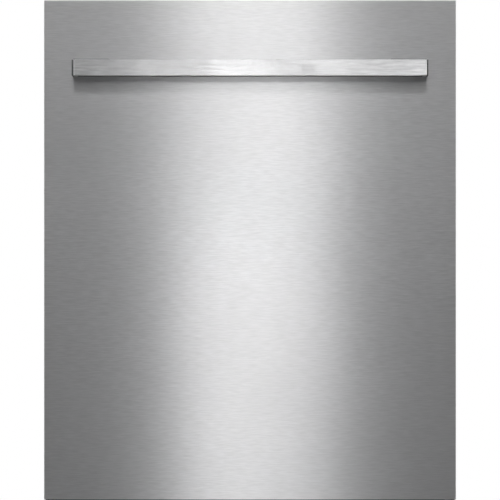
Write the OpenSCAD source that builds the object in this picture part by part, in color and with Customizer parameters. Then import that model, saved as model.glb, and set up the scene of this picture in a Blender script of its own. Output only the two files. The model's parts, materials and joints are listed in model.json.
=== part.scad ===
// Built-in dishwasher, fully integrated, 600 mm niche.
// Frame: +Z up, front towards -Y, origin on the floor under the middle of the machine.
// Each module is one loose piece of the real machine, drawn closed, with the racks pushed in.

/* [Cabinet] */
// Width over the side panels
machine_w = 598; // [596:1:600]
// Height from the floor with the feet screwed in
machine_h = 815; // [815:1:820]
// Depth from the metal door to the rear panel
machine_d = 550; // [548:1:560]
// Thickness of the metal door, outer skin to inner liner
door_t = 50; // [48:1:54]
// Thickness of folded sheet steel
sheet = 1; // [0.8:0.1:1.2]

/* [Front panel] */
// Width of the stainless front panel
panel_w = 594; // [588:1:596]
// Height of the stainless front panel
panel_h = 720; // [700:1:720]
// Thickness of the front panel
panel_t = 20; // [16:1:22]
// Height of its lower edge above the floor
panel_z = 94; // [92:1:94]
// Thickness of the front panel's steel skin
skin_t = 1.2; // [1:0.1:1.5]

/* [Handle] */
// Length of the bar over its end caps
handle_w = 511; // [400:1:560]
// Height of the bar
handle_h = 23.2; // [18:0.2:30]
// Thickness of the bar, front to back
handle_t = 10; // [8:1:14]
// Reach of the bar's face in front of the panel
handle_reach = 42; // [36:1:50]
// Drop from the panel's top edge to the bar's top
handle_drop = 87; // [70:1:120]
// Width of each post
post_w = 53; // [30:1:70]
// Rise of each post above the bar's top
post_rise = 1.9; // [0:0.1:3]
// Thickness of the dark end caps
cap_t = 1.8; // [1:0.2:3]

/* [Wash tub] */
// Half the inside width of the tub
tub_x = 277; // [275:0.5:278]
// Inside of the rear wall
tub_rear = 281; // [279:0.5:282]
// Inside of the ceiling
tub_ceiling = 791; // [788:0.5:791]
// Top of the rim round the floor, where the wheels run
floor_z = 146.5; // [146:0.1:146.6]
// Radius of the upper tub corners
tub_r = 26; // [10:1:40]

/* [Racks] */
// Height of the lower rack's floor wires
lower_z = 190; // [190:1:192]
// Height of the upper rack's floor wires
upper_z = 470; // [470:1:472]
// Height of the cutlery tray's floor
tray_z = 690; // [688:1:692]
// Pitch of the plate tines
tine_pitch = 30; // [28:1:34]
// Diameter of the thin rack wires
wire_d = 3; // [2.6:0.1:3.2]
// Radius of the lower rack's wheels
wheel_r = 17; // [16.5:0.1:17]

/* [Spray arms] */
// Reach of the lower arm from its hub
lower_reach = 216; // [180:1:218]
// Reach of the upper arm from its hub
upper_reach = 195; // [160:1:205]

/* [Hidden] */
$fn = 48;
eps = 0.01;
rim_d = 5;
// Start of an upright wire above the centre of the rack's base ring
rise = 3.6;

// Places along Y, from the face of the handle to the back
handle_y = -(machine_d + panel_t + handle_reach) / 2;
panel_y = handle_y + handle_reach;
door_y = panel_y + panel_t;
back_y = door_y + machine_d;
liner_y = door_y + door_t;
body_y = liner_y + 4;

// Half widths
side_x = machine_w / 2;
skin_x = side_x - 4;
fold_x = skin_x - 6.6;
base_x = 275;

// Door heights
hinge_y = liner_y - 21;
hinge_z = 125;
skin_z0 = 112;
liner_z0 = 120;
door_top = 792;
fascia_top = 811;

// Handle heights
bar_z1 = panel_z + panel_h - handle_drop;
bar_z0 = bar_z1 - handle_h;
post_x = handle_w / 2 - post_w / 2;

// Base
base_y0 = -150;
base_y1 = 270;
base_z0 = 28;
wall = 3;
foot_places = [[-235, -115], [235, -115], [0, 245]];
foot_bolt_r = 8;
foot_bore_r = 8.08;

// Water circuit
arm_y = 40;
sump_y = 20;
sump_r = 99.5;
filter_at = [30, -20];
filter_r = 38;
salt_at = [-150, -107];
spigot_z = 75;
spigot_x = 225;
pivot_r = 6;
pivot_bore = 6.06;

// Lower rack
low_x = 254;
low_rim_x = 258;
low_y0 = -158;
low_y1 = 248;
low_rim_y0 = -167;
low_rim_y1 = 252;
low_rim_z = 315;
wheel_places = [-45, 200];
wheel_x = 265.5;
wheel_z = floor_z + 0.5 + wheel_r;
fold_y = 5;
fold_z = lower_z + 8.7;

// Upper rack
up_x = 252;
up_rim_x = 256;
up_y0 = -158;
up_y1 = 244;
up_rim_y0 = -165;
up_rim_z = 590;
shelf_z = 560;
shelf_x = 247;
shelf_w = 92;
shelf_ends = [-140, 190];

// Cutlery tray
tray_x = 262;
tray_y0 = -165;
tray_y1 = 244;
tray_rim = 48;

// Rails on the tub walls
rail_z = 525;
tray_rail_z = 707.5;

// Control keys on the top edge of the door: power, programme, start
key_places = [-236, -150, 236];
key_y = -218;
key_size = [15, 9];
key_travel = 1;

// Dispenser in the door liner
cup_x0 = -66;
cup_x1 = -4;
cup_z0 = 404;
cup_z1 = 468;
cap_at = [46, 436];

// Counterbalance: a pin on the hinge arm pulls a slotted link forwards
crank_r = 42;
crank_pin = 1.5;
crank_y = hinge_y + crank_r * cos(45);
crank_z = hinge_z + crank_r * sin(45);
link_z0 = crank_z - crank_pin - 0.4;
link_z1 = hinge_z + crank_r + crank_pin + 0.4;
spring_z = (link_z0 + link_z1) / 2;
spring_x = 289.8;
spring_r = 5.3;
spring_y0 = -142;
spring_y1 = 62;
anchor_y = 112;

// ---- shared shapes ----

// A block between two corners given axis by axis.
module block(x, y, z) {
    translate([x[0], y[0], z[0]]) cube([x[1] - x[0], y[1] - y[0], z[1] - z[0]]);
}

// The same child on both sides of the machine.
module both_sides() {
    children();
    mirror([1, 0, 0]) children();
}

// A six-sided wire from point a to point b.
module wire(a, b, d = wire_d) {
    v = b - a;
    length = norm(v);
    translate(a)
        rotate([0, acos(v[2] / length), atan2(v[1], v[0])])
            cylinder(h = length, d = d, $fn = 6);
}

// A rack's floor: a heavy ring, with thin wires across it and along it.
module rack_floor(x, y0, y1, z, cross_ys, long_xs) {
    r = rim_d / 2;
    both_sides() wire([x, y0 - r, z], [x, y1 + r, z], rim_d);
    for (y = [y0, y1]) wire([-x - r, y, z], [x + r, y, z], rim_d);
    for (y = cross_ys) wire([-x, y, z + 2], [x, y, z + 2]);
    for (lx = long_xs) wire([lx, y0, z], [lx, y1, z]);
}

// One side of a rack: a rail along Y, and the wires that carry it.
module rack_side(low, rim, y0, y1, ys) {
    wire([rim[0], y0, rim[1]], [rim[0], y1, rim[1]], rim_d);
    for (y = ys) wire([low[0], y, low[1]], [rim[0], y, rim[1]]);
}

// The front or the back of a rack: a rail along X, and its wires.
module rack_end(low, rim, half_x, xs) {
    wire([-half_x, rim[0], rim[1]], [half_x, rim[0], rim[1]], rim_d);
    for (x = xs) wire([x, low[0], low[1]], [x, rim[0], rim[1]]);
}

// A cylinder along +Y from y0 to y1, centred at x, z.
module rod_y(x, z, y0, y1, r) {
    translate([x, y0, z]) rotate([-90, 0, 0]) cylinder(h = y1 - y0, r = r);
}

// A cylinder along +X from x0 to x1, centred at y, z.
module rod_x(y, z, x0, x1, r) {
    translate([x0, y, z]) rotate([0, 90, 0]) cylinder(h = x1 - x0, r = r);
}

// An upright cylinder.
module rod_z(x, y, z0, z1, r) {
    translate([x, y, z0]) cylinder(h = z1 - z0, r = r);
}

// A rectangle with round corners, made of squares and circles.
module round_rect(x0, x1, y0, y1, r) {
    translate([x0 + r, y0]) square([x1 - x0 - 2 * r, y1 - y0]);
    translate([x0, y0 + r]) square([x1 - x0, y1 - y0 - 2 * r]);
    for (x = [x0 + r, x1 - r], y = [y0 + r, y1 - r]) translate([x, y]) circle(r = r);
}

// A flat shape in the X-Z plane given a thickness along Y from y0 to y1.
module plate_xz(y0, y1) {
    translate([0, y1, 0]) rotate([90, 0, 0]) linear_extrude(y1 - y0) children();
}

// A flat shape in the Y-Z plane given a thickness along X from x0 to x1.
module plate_yz(x0, x1) {
    translate([x0, 0, 0]) rotate([90, 0, 90]) linear_extrude(x1 - x0) children();
}

// A pyramid with its top cut off: two rectangles [x, y0, y1] at two heights.
module frustum(low, z0, high, z1) {
    ring = function (r, z) [[-r[0], r[1], z], [r[0], r[1], z], [r[0], r[2], z], [-r[0], r[2], z]];
    polyhedron(
        points = concat(ring(low, z0), ring(high, z1)),
        faces = [[0, 1, 2, 3], [7, 6, 5, 4], [0, 4, 5, 1], [1, 5, 6, 2], [2, 6, 7, 3], [3, 7, 4, 0]]
    );
}

// The arch outline of the tub mouth, grown by g.
module arch(g) {
    x = tub_x + g;
    top = tub_ceiling + g;
    r = tub_r + g;
    intersection() {
        round_rect(-x, x, floor_z - 200, top, r);
        translate([-x, floor_z - 3.5]) square([2 * x, top]);
    }
}

// ---- cabinet ----

module base_tray() color("#2a2c2e") {
    difference() {
        union() {
            difference() {
                block([-base_x, base_x], [base_y0, base_y1], [base_z0, floor_z - 3.6]);
                block([-base_x + wall, base_x - wall], [base_y0 + wall, base_y1 - wall],
                      [base_z0 + wall, floor_z]);
            }
            for (p = foot_places) rod_z(p[0], p[1], base_z0 + eps, 50, 14);
            for (x = [-90, 90, 200])
                block([x - 1.5, x + 1.5], [base_y0 + 1, base_y0 + 26], [base_z0 + 1, 118]);
        }
        for (p = foot_places) rod_z(p[0], p[1], base_z0 - 1, 51, foot_bore_r);
        // Front wall lowered under the bowl of the tub
        block([-222, 222], [base_y0 - 1, base_y0 + wall + 1], [140.2, floor_z]);
    }
}

module tub_wrap() color("#c9ccce") {
    plate_xz(body_y, tub_rear + 1) difference() {
        arch(sheet);
        arch(0);
    }
    // Flange round the mouth that carries the gasket
    plate_xz(body_y, body_y + sheet) difference() {
        arch(9);
        arch(sheet / 2);
    }
}

module tub_back() color("#c4c7c9") {
    plate_xz(tub_rear, tub_rear + sheet) difference() {
        arch(-0.1);
        translate([0, 462.7]) circle(r = 5);
    }
    // Stiffening swages pressed outwards
    for (z = [250, 360, 560, 670])
        plate_xz(tub_rear + sheet - eps, tub_rear + 3) round_rect(-210, 210, z, z + 26, 12);
}

module tub_floor() color("#b9bcbe") {
    rim = [tub_x - 0.1, body_y, tub_rear - 0.1];
    inner_top = [214, -168, 254];
    inner_low = [106, -84, 124];
    difference() {
        union() {
            block([-rim[0], rim[0]], [rim[1], rim[2]], [floor_z - 3.5, floor_z]);
            frustum(inner_low + [3, -3, 3], 126.5, inner_top + [4, -4, 4], floor_z - 0.5);
        }
        frustum(inner_low, 130, inner_top, floor_z + 0.02);
        rod_z(0, sump_y, 120, 150, sump_r + 0.4);
        rod_z(salt_at[0], salt_at[1], 120, 150, 36);
    }
    // Raised collar round the salt filler
    difference() {
        rod_z(salt_at[0], salt_at[1], 133.5, 142, 38.5);
        rod_z(salt_at[0], salt_at[1], 130, 150, 36);
    }
}

module door_gasket() color("#3a3c3e") {
    // Arch seal on the flange, then the lip along the floor's front edge
    plate_xz(liner_y + 0.4, body_y - 0.02) intersection() {
        difference() {
            arch(8.5);
            arch(0.4);
        }
        translate([-tub_x - 20, floor_z + 2]) square([2 * tub_x + 40, machine_h]);
    }
    block([-tub_x, tub_x], [body_y - 1.8, body_y - 0.02], [floor_z - 14, floor_z - 0.5]);
}

module front_frame() color("#a9adb0") {
    web_x = tub_x + 3;
    difference() {
        union() {
            both_sides() {
                block([web_x, side_x], [body_y + 1.2, body_y + 2.2], [205, machine_h]);
                block([side_x - sheet, side_x], [body_y + 1.2, body_y + 40], [205, machine_h]);
            }
            block([-side_x, side_x], [body_y + 1.2, body_y + 2.2], [tub_ceiling + 3, machine_h]);
            block([-side_x, side_x], [body_y + 1.2, body_y + 40], [machine_h - sheet, machine_h]);
        }
        // Screw holes up into the worktop, and sideways into the neighbouring units
        for (x = [-200, 200]) rod_z(x, body_y + 20, machine_h - 3, machine_h + 1, 2.5);
        for (z = [300, 700]) rod_x(body_y + 20, z, -side_x - 1, side_x + 1, 2.5);
    }
}

module side_panels() color("#9fa3a6") {
    both_sides() {
        difference() {
            union() {
                block([side_x - sheet, side_x], [body_y + 40.5, back_y - 3], [62, machine_h - 3]);
                block([side_x - sheet, side_x], [body_y + 2, body_y + 41], [62, 204]);
            }
            plate_yz(side_x - 2, side_x + 1)
                for (z = [620, 640, 660, 680, 700]) round_rect(230, 270, z, z + 5, 2.4);
        }
        block([side_x - 12, side_x - 0.5], [back_y - 4, back_y - 3], [130, machine_h - 3]);
        // Pressed ribs, on the inside
        for (y = [-60, 40, 140])
            block([side_x - sheet - 1, side_x - 0.5], [y, y + 22], [130, 740]);
    }
}

module top_cover() color("#8f9396") {
    difference() {
        block([-side_x, side_x], [body_y + 40.5, back_y - 3], [machine_h - sheet, machine_h]);
        for (x = [-180, 60])
            translate([0, 0, machine_h - 2]) linear_extrude(3) round_rect(x, x + 120, 180, 200, 9);
    }
}

module rear_panel() color("#97a0a5") {
    x = side_x - 3;
    block([-x, x], [back_y - 2.5, back_y - 1.5], [130, machine_h - 3]);
    for (z = [180, 330, 480, 630]) plate_xz(back_y - 1.6, back_y) round_rect(-230, 230, z, z + 70, 20);
}

module insulation_mat() color("#d8d4c8") {
    // Felt over the tub's sides and ceiling, and behind it
    plate_xz(body_y + 42, tub_rear - 1) intersection() {
        difference() {
            arch(6);
            arch(2);
        }
        translate([-300, floor_z + 20]) square([600, 700]);
    }
    block([-255, 255], [tub_rear + 3.5, tub_rear + 9], [floor_z + 20, tub_ceiling]);
}

module toe_kick_plate() color("#1f2022") {
    difference() {
        block([-286, 286], [base_y0 - 3, base_y0 - 1.5], [base_z0 + 6, 110]);
        for (i = [0 : 8]) plate_xz(base_y0 - 4, base_y0) round_rect(-84 + i * 20, -76 + i * 20, 52, 92, 3.9);
    }
    for (x = [-245, 245], z = [48, 98]) rod_y(x, z, base_y0 - 4.6, base_y0 - 2.5, 5);
    // Spacers to the tray
    for (x = [-245, 245], z = [48, 98]) rod_y(x, z, base_y0 - 1.6, base_y0 - 0.02, 4);
}

module sump() color("#55595c") {
    difference() {
        rod_z(0, sump_y, 40, 133.5, sump_r);
        rod_z(0, sump_y, 44, 140, sump_r - 3.5);
    }
    rod_z(0, arm_y, 43, 160, 12);
    rod_z(0, arm_y, 159, 175, pivot_r);
}

module filter_plate() color("#aeb1b3") {
    difference() {
        rod_z(0, sump_y, 133.6, 136, sump_r);
        rod_z(filter_at[0], filter_at[1], 130, 140, filter_r + 1);
        rod_z(0, arm_y, 130, 140, 13);
    }
}

module circulation_pump() color("#d9d9d6") {
    rod_x(175, 84, -20, 60, 44);
    rod_x(175, 84, 59, 150, 36);
    rod_x(175, 84, 149, 160, 22);
    block([-12, 8], [121, 140], [60, 82]);
}

module drain_pump() color("#e0e0dc") {
    rod_x(-20, 62, 104, 140, 26);
    rod_x(-20, 62, 139, 182, 20);
    block([182, 190], [-30, -10], [54, 70]);
}

module water_softener() color("#e6e6e2") {
    difference() {
        union() {
            block([-206, -103], [base_y0 + 4, 38], [36, 118]);
            rod_z(salt_at[0], salt_at[1], 117, 142.2, 35.5);
        }
        rod_z(salt_at[0], salt_at[1], 60, 143, 32);
    }
}

module heat_exchanger() color("#dfe6e6") {
    x0 = -side_x + 3;
    x1 = -tub_x - 8.5;
    difference() {
        plate_yz(x0, x1) round_rect(-50, 228, 215, 720, 18);
        for (z = [300, 400, 500, 600]) plate_yz(x0 + 2, x1 + 1) round_rect(-20, 190, z, z + 60, 14);
    }
    plate_yz(x0 + 0.5, x1 - 0.5) round_rect(150, 186, 152, 222, 8);
}

module inlet_valve() color("#f0f0ee") {
    block([-spigot_x - 22, -spigot_x + 22], [base_y1 + 0.02, 286], [spigot_z - 20, spigot_z + 20]);
    rod_y(-spigot_x, spigot_z, 285, 304, 13.2);
}

module drain_outlet() color("#5c6064") {
    block([spigot_x - 16, spigot_x + 16], [base_y1 + 0.02, 283], [spigot_z - 16, spigot_z + 16]);
    rod_y(spigot_x, spigot_z, 282, 304, 10);
}

module power_inlet() color("#17181a") {
    difference() {
        block([96, 146], [base_y1 + 0.02, 296], [50, 86]);
        plate_xz(276, 297) round_rect(102, 140, 56, 80, 4);
    }
    for (x = [112, 121, 130]) block([x - 1.5, x + 1.5], [275, 291], [65, 71]);
}

module feed_pipe() color("#8c9194") {
    // Riser on the rear wall, docking nozzle for the upper rack, run along the ceiling, sprinkler
    block([-15, 15], [266, tub_rear - 0.1], [floor_z + 0.05, 790]);
    rod_y(0, 462.7, 256, 267, 8);
    block([-12, 12], [arm_y, 267], [778, 790]);
    rod_z(0, arm_y, 772, 790.6, 30);
}

// A C-shaped rail on the right-hand wall, open towards the rack.
module channel(x0, x1, y0, y1, z, h, skin) {
    block([x1 - skin, x1], [y0, y1], [z - h / 2, z + h / 2]);
    for (zz = [z - h / 2, z + h / 2 - skin]) block([x0, x1], [y0, y1], [zz, zz + skin]);
}

module rack_rails() color("#b4b8ba") {
    both_sides() {
        channel(264, tub_x - 0.1, -180, 262, rail_z, 24, 1.8);
        channel(266, tub_x - 0.1, -180, 262, tray_rail_z, 13, 1.8);
    }
}

module upper_slides() color("#c3c6c8") {
    both_sides() channel(264.4, 274.8, -174, 256, rail_z, 19.8, 1.8);
}

module latch_strike() color("#b0b3b5") {
    block([-20, 20], [body_y + 3, body_y + 32], [tub_ceiling - 4, tub_ceiling - 0.1]);
    block([-8, 8], [body_y + 4, body_y + 10], [770, tub_ceiling - 3]);
    block([-8, 8], [-212, body_y + 10], [772, 779]);
}

// ---- hinge ----

module hinge_brackets() color("#8b8f92") {
    x0 = side_x - 3.3;
    x1 = side_x - 1.3;
    both_sides() {
        plate_yz(x0, x1) {
            translate([hinge_y, hinge_z]) circle(r = 12.5);
            translate([hinge_y, hinge_z - 12]) square([75, 24]);
            translate([-145, 66]) square([60, 71]);
            translate([-90, 66]) square([215, 20]);
            translate([100, 66]) square([25, 108]);
        }
        // Riveted hinge pin, spring anchor, and the tab that meets the base tray
        rod_x(hinge_y, hinge_z, 288.8, side_x - 0.2, 4);
        rod_x(hinge_y, hinge_z, side_x - 1.3 - eps, side_x, 6.5);
        rod_x(anchor_y, spring_z, 284, x0 + 1, 3);
        block([base_x + 0.02, x0 + 1], [-110, -80], [66, 68]);
        block([base_x + 0.02, base_x + 2], [-110, -80], [50, 68]);
    }
}

module hinge_arms() color("#7f8386") {
    both_sides() {
        plate_yz(289.5, 292) difference() {
            union() {
                translate([hinge_y, hinge_z]) circle(r = 10.5);
                translate([hinge_y - 22, hinge_z - 6]) square([15, 176]);
                translate([hinge_y - 22, hinge_z - 6]) square([28, 16]);
                // Crank, up and back from the hinge pin
                translate([hinge_y, hinge_z]) rotate(45) translate([0, -5.5]) square([crank_r, 11]);
                translate([crank_y, crank_z]) circle(r = 7);
            }
            translate([hinge_y, hinge_z]) circle(r = 4.05);
            for (z = [60, 150]) translate([hinge_y - 14.5, hinge_z + z]) circle(r = 2.2);
        }
        rod_x(crank_y, crank_z, 291, 294.6, crank_pin);
    }
}

// A stamped link with an upright slot for the crank pin and an eye for the spring.
module spring_links() color("#8f9497") {
    both_sides() plate_yz(292.3, 293.8) difference() {
        union() {
            round_rect(crank_y - 8, crank_y + 8, link_z0 - 5, link_z1 + 5, 4);
            translate([crank_y, spring_z - 5]) square([spring_y0 - 6 - crank_y, 10]);
            translate([spring_y0 - 6, spring_z]) circle(r = 6);
        }
        round_rect(crank_y - 3.2, crank_y + 3.2, link_z0, link_z1, 1.5);
        translate([spring_y0 - 6, spring_z]) circle(r = 2.6);
    }
}

module balance_springs() color("#9a9ea1") {
    both_sides() {
        // The closed coils, drawn as their outer envelope
        rod_y(spring_x, spring_z, spring_y0, spring_y1, spring_r);
        // Hooked ends: into the link at the front, round the anchor pin at the back
        rod_y(spring_x, spring_z, spring_y0 - 7.2, spring_y0 + 0.5, 1.2);
        rod_x(spring_y0 - 6, spring_z, spring_x - 0.5, 294.8, 1);
        rod_y(spring_x, spring_z, spring_y1 - 0.5, anchor_y - 3.4, 1.2);
    }
}

// ---- feet ----

module foot(p) color("#3c3e40") {
    rod_z(p[0], p[1], 7, 100, foot_bolt_r);
    translate([p[0], p[1], 4]) cylinder(h = 10, r = 15, $fn = 6);
    rod_z(p[0], p[1], 0, 5, 21);
}

module front_foot_left() foot(foot_places[0]);
module front_foot_right() foot(foot_places[1]);
module rear_foot() foot(foot_places[2]);

// ---- water parts that turn ----

module filter_cylinder() color("#6b7275") {
    x = filter_at[0];
    y = filter_at[1];
    difference() {
        union() {
            rod_z(x, y, 72, 138, filter_r);
            rod_z(x, y, 136.1, 139, filter_r + 6);
        }
        rod_z(x, y, 76, 140, filter_r - 2.5);
    }
    // Cross bars and the finger grip
    block([x - 36.5, x + 36.5], [y - 2, y + 2], [125, 139]);
    block([x - 2, x + 2], [y - 36.5, y + 36.5], [125, 139]);
    block([x - 22, x + 22], [y - 2.5, y + 2.5], [138, 157]);
}

module salt_cap() color("#e9e9e6") {
    x = salt_at[0];
    y = salt_at[1];
    rod_z(x, y, 142.8, 151, 38);
    rod_z(x, y, 120, 143, 31);
    block([x - 30, x + 30], [y - 4, y + 4], [150, 158]);
}

// Outline of a two-blade spray arm, round at both tips.
module blade(reach, w_hub, w_tip) {
    polygon([[-reach, -w_tip / 2], [-30, -w_hub / 2], [30, -w_hub / 2], [reach, -w_tip / 2],
             [reach, w_tip / 2], [30, w_hub / 2], [-30, w_hub / 2], [-reach, w_tip / 2]]);
    for (x = [-reach, reach]) translate([x, 0]) circle(r = w_tip / 2);
}

module lower_spray_arm() color("#9da2a5") {
    difference() {
        translate([0, arm_y, 0]) {
            translate([0, 0, 166]) linear_extrude(10) blade(lower_reach - 10, 34, 20);
            translate([0, 0, 160.4]) cylinder(h = 19.6, r = 22);
            for (x = [-190, -150, -110, -70, 60, 100, 140, 180])
                translate([x, x > 0 ? 3 : -3, 175]) cylinder(h = 3, r = 4);
        }
        rod_z(0, arm_y, 160, 175.4, pivot_bore);
    }
}

module upper_spray_arm() color("#9da2a5") {
    difference() {
        translate([0, arm_y, 0]) {
            translate([0, 0, 446]) linear_extrude(9) blade(upper_reach - 9, 30, 18);
            translate([0, 0, 444]) cylinder(h = 13.4, r = 18);
            for (x = [-170, -130, -90, 80, 120, 160])
                translate([x, x > 0 ? 3 : -3, 454]) cylinder(h = 2.6, r = 3.5);
        }
        rod_z(0, arm_y, 445.6, 460, pivot_bore);
    }
}

// ---- door ----

// Holes for the handle screws, through everything between two depths.
module handle_screw_holes(y0, y1, r) {
    for (s = [-1, 1], dx = [-16, 16]) rod_y(s * post_x + dx, bar_z0 + handle_h / 2, y0, y1, r);
}

// A steel tray: the visible face, four folded edges, and a narrow return round the back.
module decor_panel() color("#b8babb") {
    x = panel_w / 2;
    z1 = panel_z + panel_h;
    difference() {
        block([-x, x], [panel_y, door_y], [panel_z, z1]);
        block([-x + skin_t, x - skin_t], [panel_y + skin_t, door_y - 1], [panel_z + skin_t, z1 - skin_t]);
        block([-x + 16, x - 16], [door_y - 2, door_y + 1], [panel_z + 16, z1 - 16]);
        handle_screw_holes(panel_y - 1, panel_y + 3, 2.2);
    }
}

// The board frame inside the steel tray.
module panel_filler() color("#b89b72") {
    x = panel_w / 2 - skin_t - 0.1;
    z0 = panel_z + skin_t + 0.1;
    z1 = panel_z + panel_h - skin_t - 0.1;
    difference() {
        block([-x, x], [panel_y + skin_t + 0.1, door_y - 1.1], [z0, z1]);
        block([-x + 60, x - 60], [panel_y, door_y], [z0 + 60, z0 + 270]);
        block([-x + 60, x - 60], [panel_y, door_y], [z0 + 330, z0 + 560]);
        handle_screw_holes(panel_y, door_y, 2.4);
    }
}

module handle_bar() color("#c6c8c8") {
    c = 0.8;
    y0 = handle_y;
    y1 = handle_y + handle_t;
    x = handle_w / 2 - cap_t - 0.02;
    plate_yz(-x, x) polygon([
        [y0 + c, bar_z0], [y1, bar_z0], [y1, bar_z1], [y0 + c, bar_z1], [y0, bar_z1 - c], [y0, bar_z0 + c]
    ]);
}

module handle_posts() color("#7d8082") {
    x0 = handle_w / 2 - post_w;
    x1 = handle_w / 2 - cap_t - 0.02;
    both_sides() difference() {
        block([x0, x1], [handle_y + handle_t + 0.02, panel_y - 0.02], [bar_z0 + 1, bar_z1 + post_rise]);
        for (dx = [-16, 16])
            rod_y(post_x + dx, bar_z0 + handle_h / 2, panel_y - 20, panel_y + 1, 1.8);
    }
}

module handle_end_caps() color("#2b2c2d") {
    x = handle_w / 2;
    both_sides() block([x - cap_t, x], [handle_y + 0.8, panel_y - 0.02], [bar_z0, bar_z1]);
}

module outer_door() color("#9a9d9f") {
    difference() {
        block([-skin_x, skin_x], [door_y + 0.02, door_y + 34], [skin_z0, door_top - 0.02]);
        block([-skin_x + sheet, skin_x - sheet], [door_y + sheet, door_y + 40],
              [skin_z0 + sheet, door_top + 1]);
        // Corners cut back round the hinge
        block([-skin_x - 1, skin_x + 1], [door_y + 16, door_y + 40], [skin_z0 - 1, hinge_z + 26]);
    }
}

module inner_door() color("#c7cacc") {
    x = fold_x - 0.4;
    difference() {
        union() {
            difference() {
                block([-x, x], [liner_y - 24, liner_y], [liner_z0, door_top - 0.1]);
                block([-x + sheet, x - sheet], [liner_y - 25, liner_y - sheet],
                      [liner_z0 + sheet, door_top + 1]);
                block([-x - 1, x + 1], [liner_y - 25, liner_y - sheet], [liner_z0 - 1, 142]);
            }
            // Pressed bead round the wet area
            plate_xz(liner_y - eps, liner_y + 1.5) difference() {
                round_rect(-262, 262, 168, 752, 30);
                round_rect(-252, 252, 178, 742, 22);
            }
        }
        plate_xz(liner_y - 3, liner_y + 1) round_rect(-82, 82, 392, 484, 10);
        plate_xz(liner_y - 3, liner_y + 1) round_rect(-14, 14, 764, 786, 4);
        rod_y(-215, 640, liner_y - 3, liner_y + 1, 24);
    }
}

module control_fascia() color("#1d1e20") {
    y0 = door_y + 0.02;
    y1 = liner_y;
    difference() {
        block([-skin_x, skin_x], [y0, y1], [door_top, fascia_top]);
        block([-skin_x + 2.5, skin_x - 2.5], [y0 + 2.5, y1 - 2.5], [door_top - 1, fascia_top - 3]);
        for (x = key_places)
            translate([0, 0, 800]) linear_extrude(20)
                round_rect(x - key_size[0] / 2 - 0.3, x + key_size[0] / 2 + 0.3,
                           key_y - key_size[1] / 2 - 0.3, key_y + key_size[1] / 2 + 0.3, 2);
        translate([0, 0, fascia_top - 1.2]) linear_extrude(3) round_rect(-55, 55, -227, -209, 3);
    }
    // Cheeks and pin of the latch
    both_sides() block([7, 10], [-234, -216], [780, fascia_top - 2.5]);
    rod_x(-226, 785, -8, 8, 2.5);
}

module display_window() color("#08090a") {
    translate([0, 0, fascia_top - 1.18]) linear_extrude(1.18) round_rect(-54.8, 54.8, -226.8, -209.2, 2.9);
}

module dispenser_housing() color("#b9bdbf") {
    front = liner_y + 1.4;
    difference() {
        union() {
            plate_xz(-222, liner_y + 0.02) round_rect(-80, 80, 394, 482, 8);
            plate_xz(liner_y + 0.02, front) round_rect(-146, 90, 386, 490, 14);
        }
        plate_xz(-217, front + 1) round_rect(cup_x0, cup_x1, cup_z0, cup_z1, 8);
        rod_y(cap_at[0], cap_at[1], -214, front + 1, 16);
    }
}

module dispenser_lid() color("#8f9497") {
    y0 = liner_y + 1.5;
    plate_xz(y0, y0 + 2.6) round_rect(cup_x0 - 4, cup_x1 + 4, cup_z0 - 4, cup_z1 + 6, 8);
    plate_xz(y0 + 2.5, y0 + 5) round_rect(cup_x0 + 12, cup_x1 - 12, cup_z1 - 6, cup_z1 + 1, 3);
}

module rinse_aid_cap() color("#4b6fa5") {
    y0 = liner_y + 1.5;
    rod_y(cap_at[0], cap_at[1], y0, y0 + 3, 24);
    rod_y(cap_at[0], cap_at[1], y0 - 12, y0 + 1, 15);
    block([cap_at[0] - 19, cap_at[0] + 19], [y0 + 2.9, y0 + 6.5], [cap_at[1] - 3, cap_at[1] + 3]);
}

module door_latch() color("#85898c") {
    difference() {
        union() {
            rod_x(-226, 785, -6.8, 6.8, 5);
            block([-6.5, 6.5], [-226, -202], [782, 788]);
            block([-6.5, 6.5], [-206, -202], [779.6, 784]);
        }
        rod_x(-226, 785, -8, 8, 2.56);
    }
}

// One key: cap through the slot, with a flange that keeps it in.
module key(x) color("#303234") {
    w = key_size[0] / 2;
    d = key_size[1] / 2;
    translate([0, 0, fascia_top - 6]) linear_extrude(6.2 + key_travel)
        round_rect(x - w, x + w, key_y - d, key_y + d, 1.7);
    block([x - w - 1.5, x + w + 1.5], [key_y - d - 1.2, key_y + d + 1.2],
          [fascia_top - 6, fascia_top - 3.1]);
}

module power_button() key(key_places[0]);
module programme_button() key(key_places[1]);
module start_button() key(key_places[2]);

// ---- lower rack ----

// The floor, each wall and each tine is a piece of its own, as it is before they are welded.
module lower_rack() color("#8e9295") {
    z = lower_z + rise;
    cross_ys = [for (i = [0 : 12]) -145 + i * 30];
    long_xs = [for (i = [-4 : 4]) i * 55];
    half_rail = low_rim_x - rim_d / 2 - 0.1;
    rack_floor(low_x, low_y0, low_y1, lower_z, cross_ys, long_xs);
    both_sides() rack_side([low_x, z], [low_rim_x, low_rim_z], low_rim_y0, low_rim_y1, cross_ys);
    rack_end([low_y0, z], [low_rim_y0, low_rim_z], half_rail, long_xs);
    rack_end([low_y1, z], [low_rim_y1, low_rim_z], half_rail, long_xs);
    // Grip on the front rim
    block([-60, 60], [low_rim_y0 - 5, low_rim_y0 + 2], [low_rim_z - 5, low_rim_z + 13]);
    // Fixed plate tines
    for (y = [-115, 125], i = [-7 : 7]) wire([i * tine_pitch, y, z], [i * tine_pitch, y, lower_z + 80]);
    // Bearings of the fold-down row
    both_sides() difference() {
        rod_x(fold_y, fold_z, 232, 238, 5);
        rod_x(fold_y, fold_z, 230, 240, 2.06);
    }
    // Wheel hangers and axles
    for (y = wheel_places) both_sides() {
        block([low_x - 1.5, low_x + 2.5], [y - 9, y + 9], [wheel_z - 8, lower_z - rim_d / 2 - 0.1]);
        rod_x(y, wheel_z, low_x, wheel_x + 6, 3);
    }
}

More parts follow.
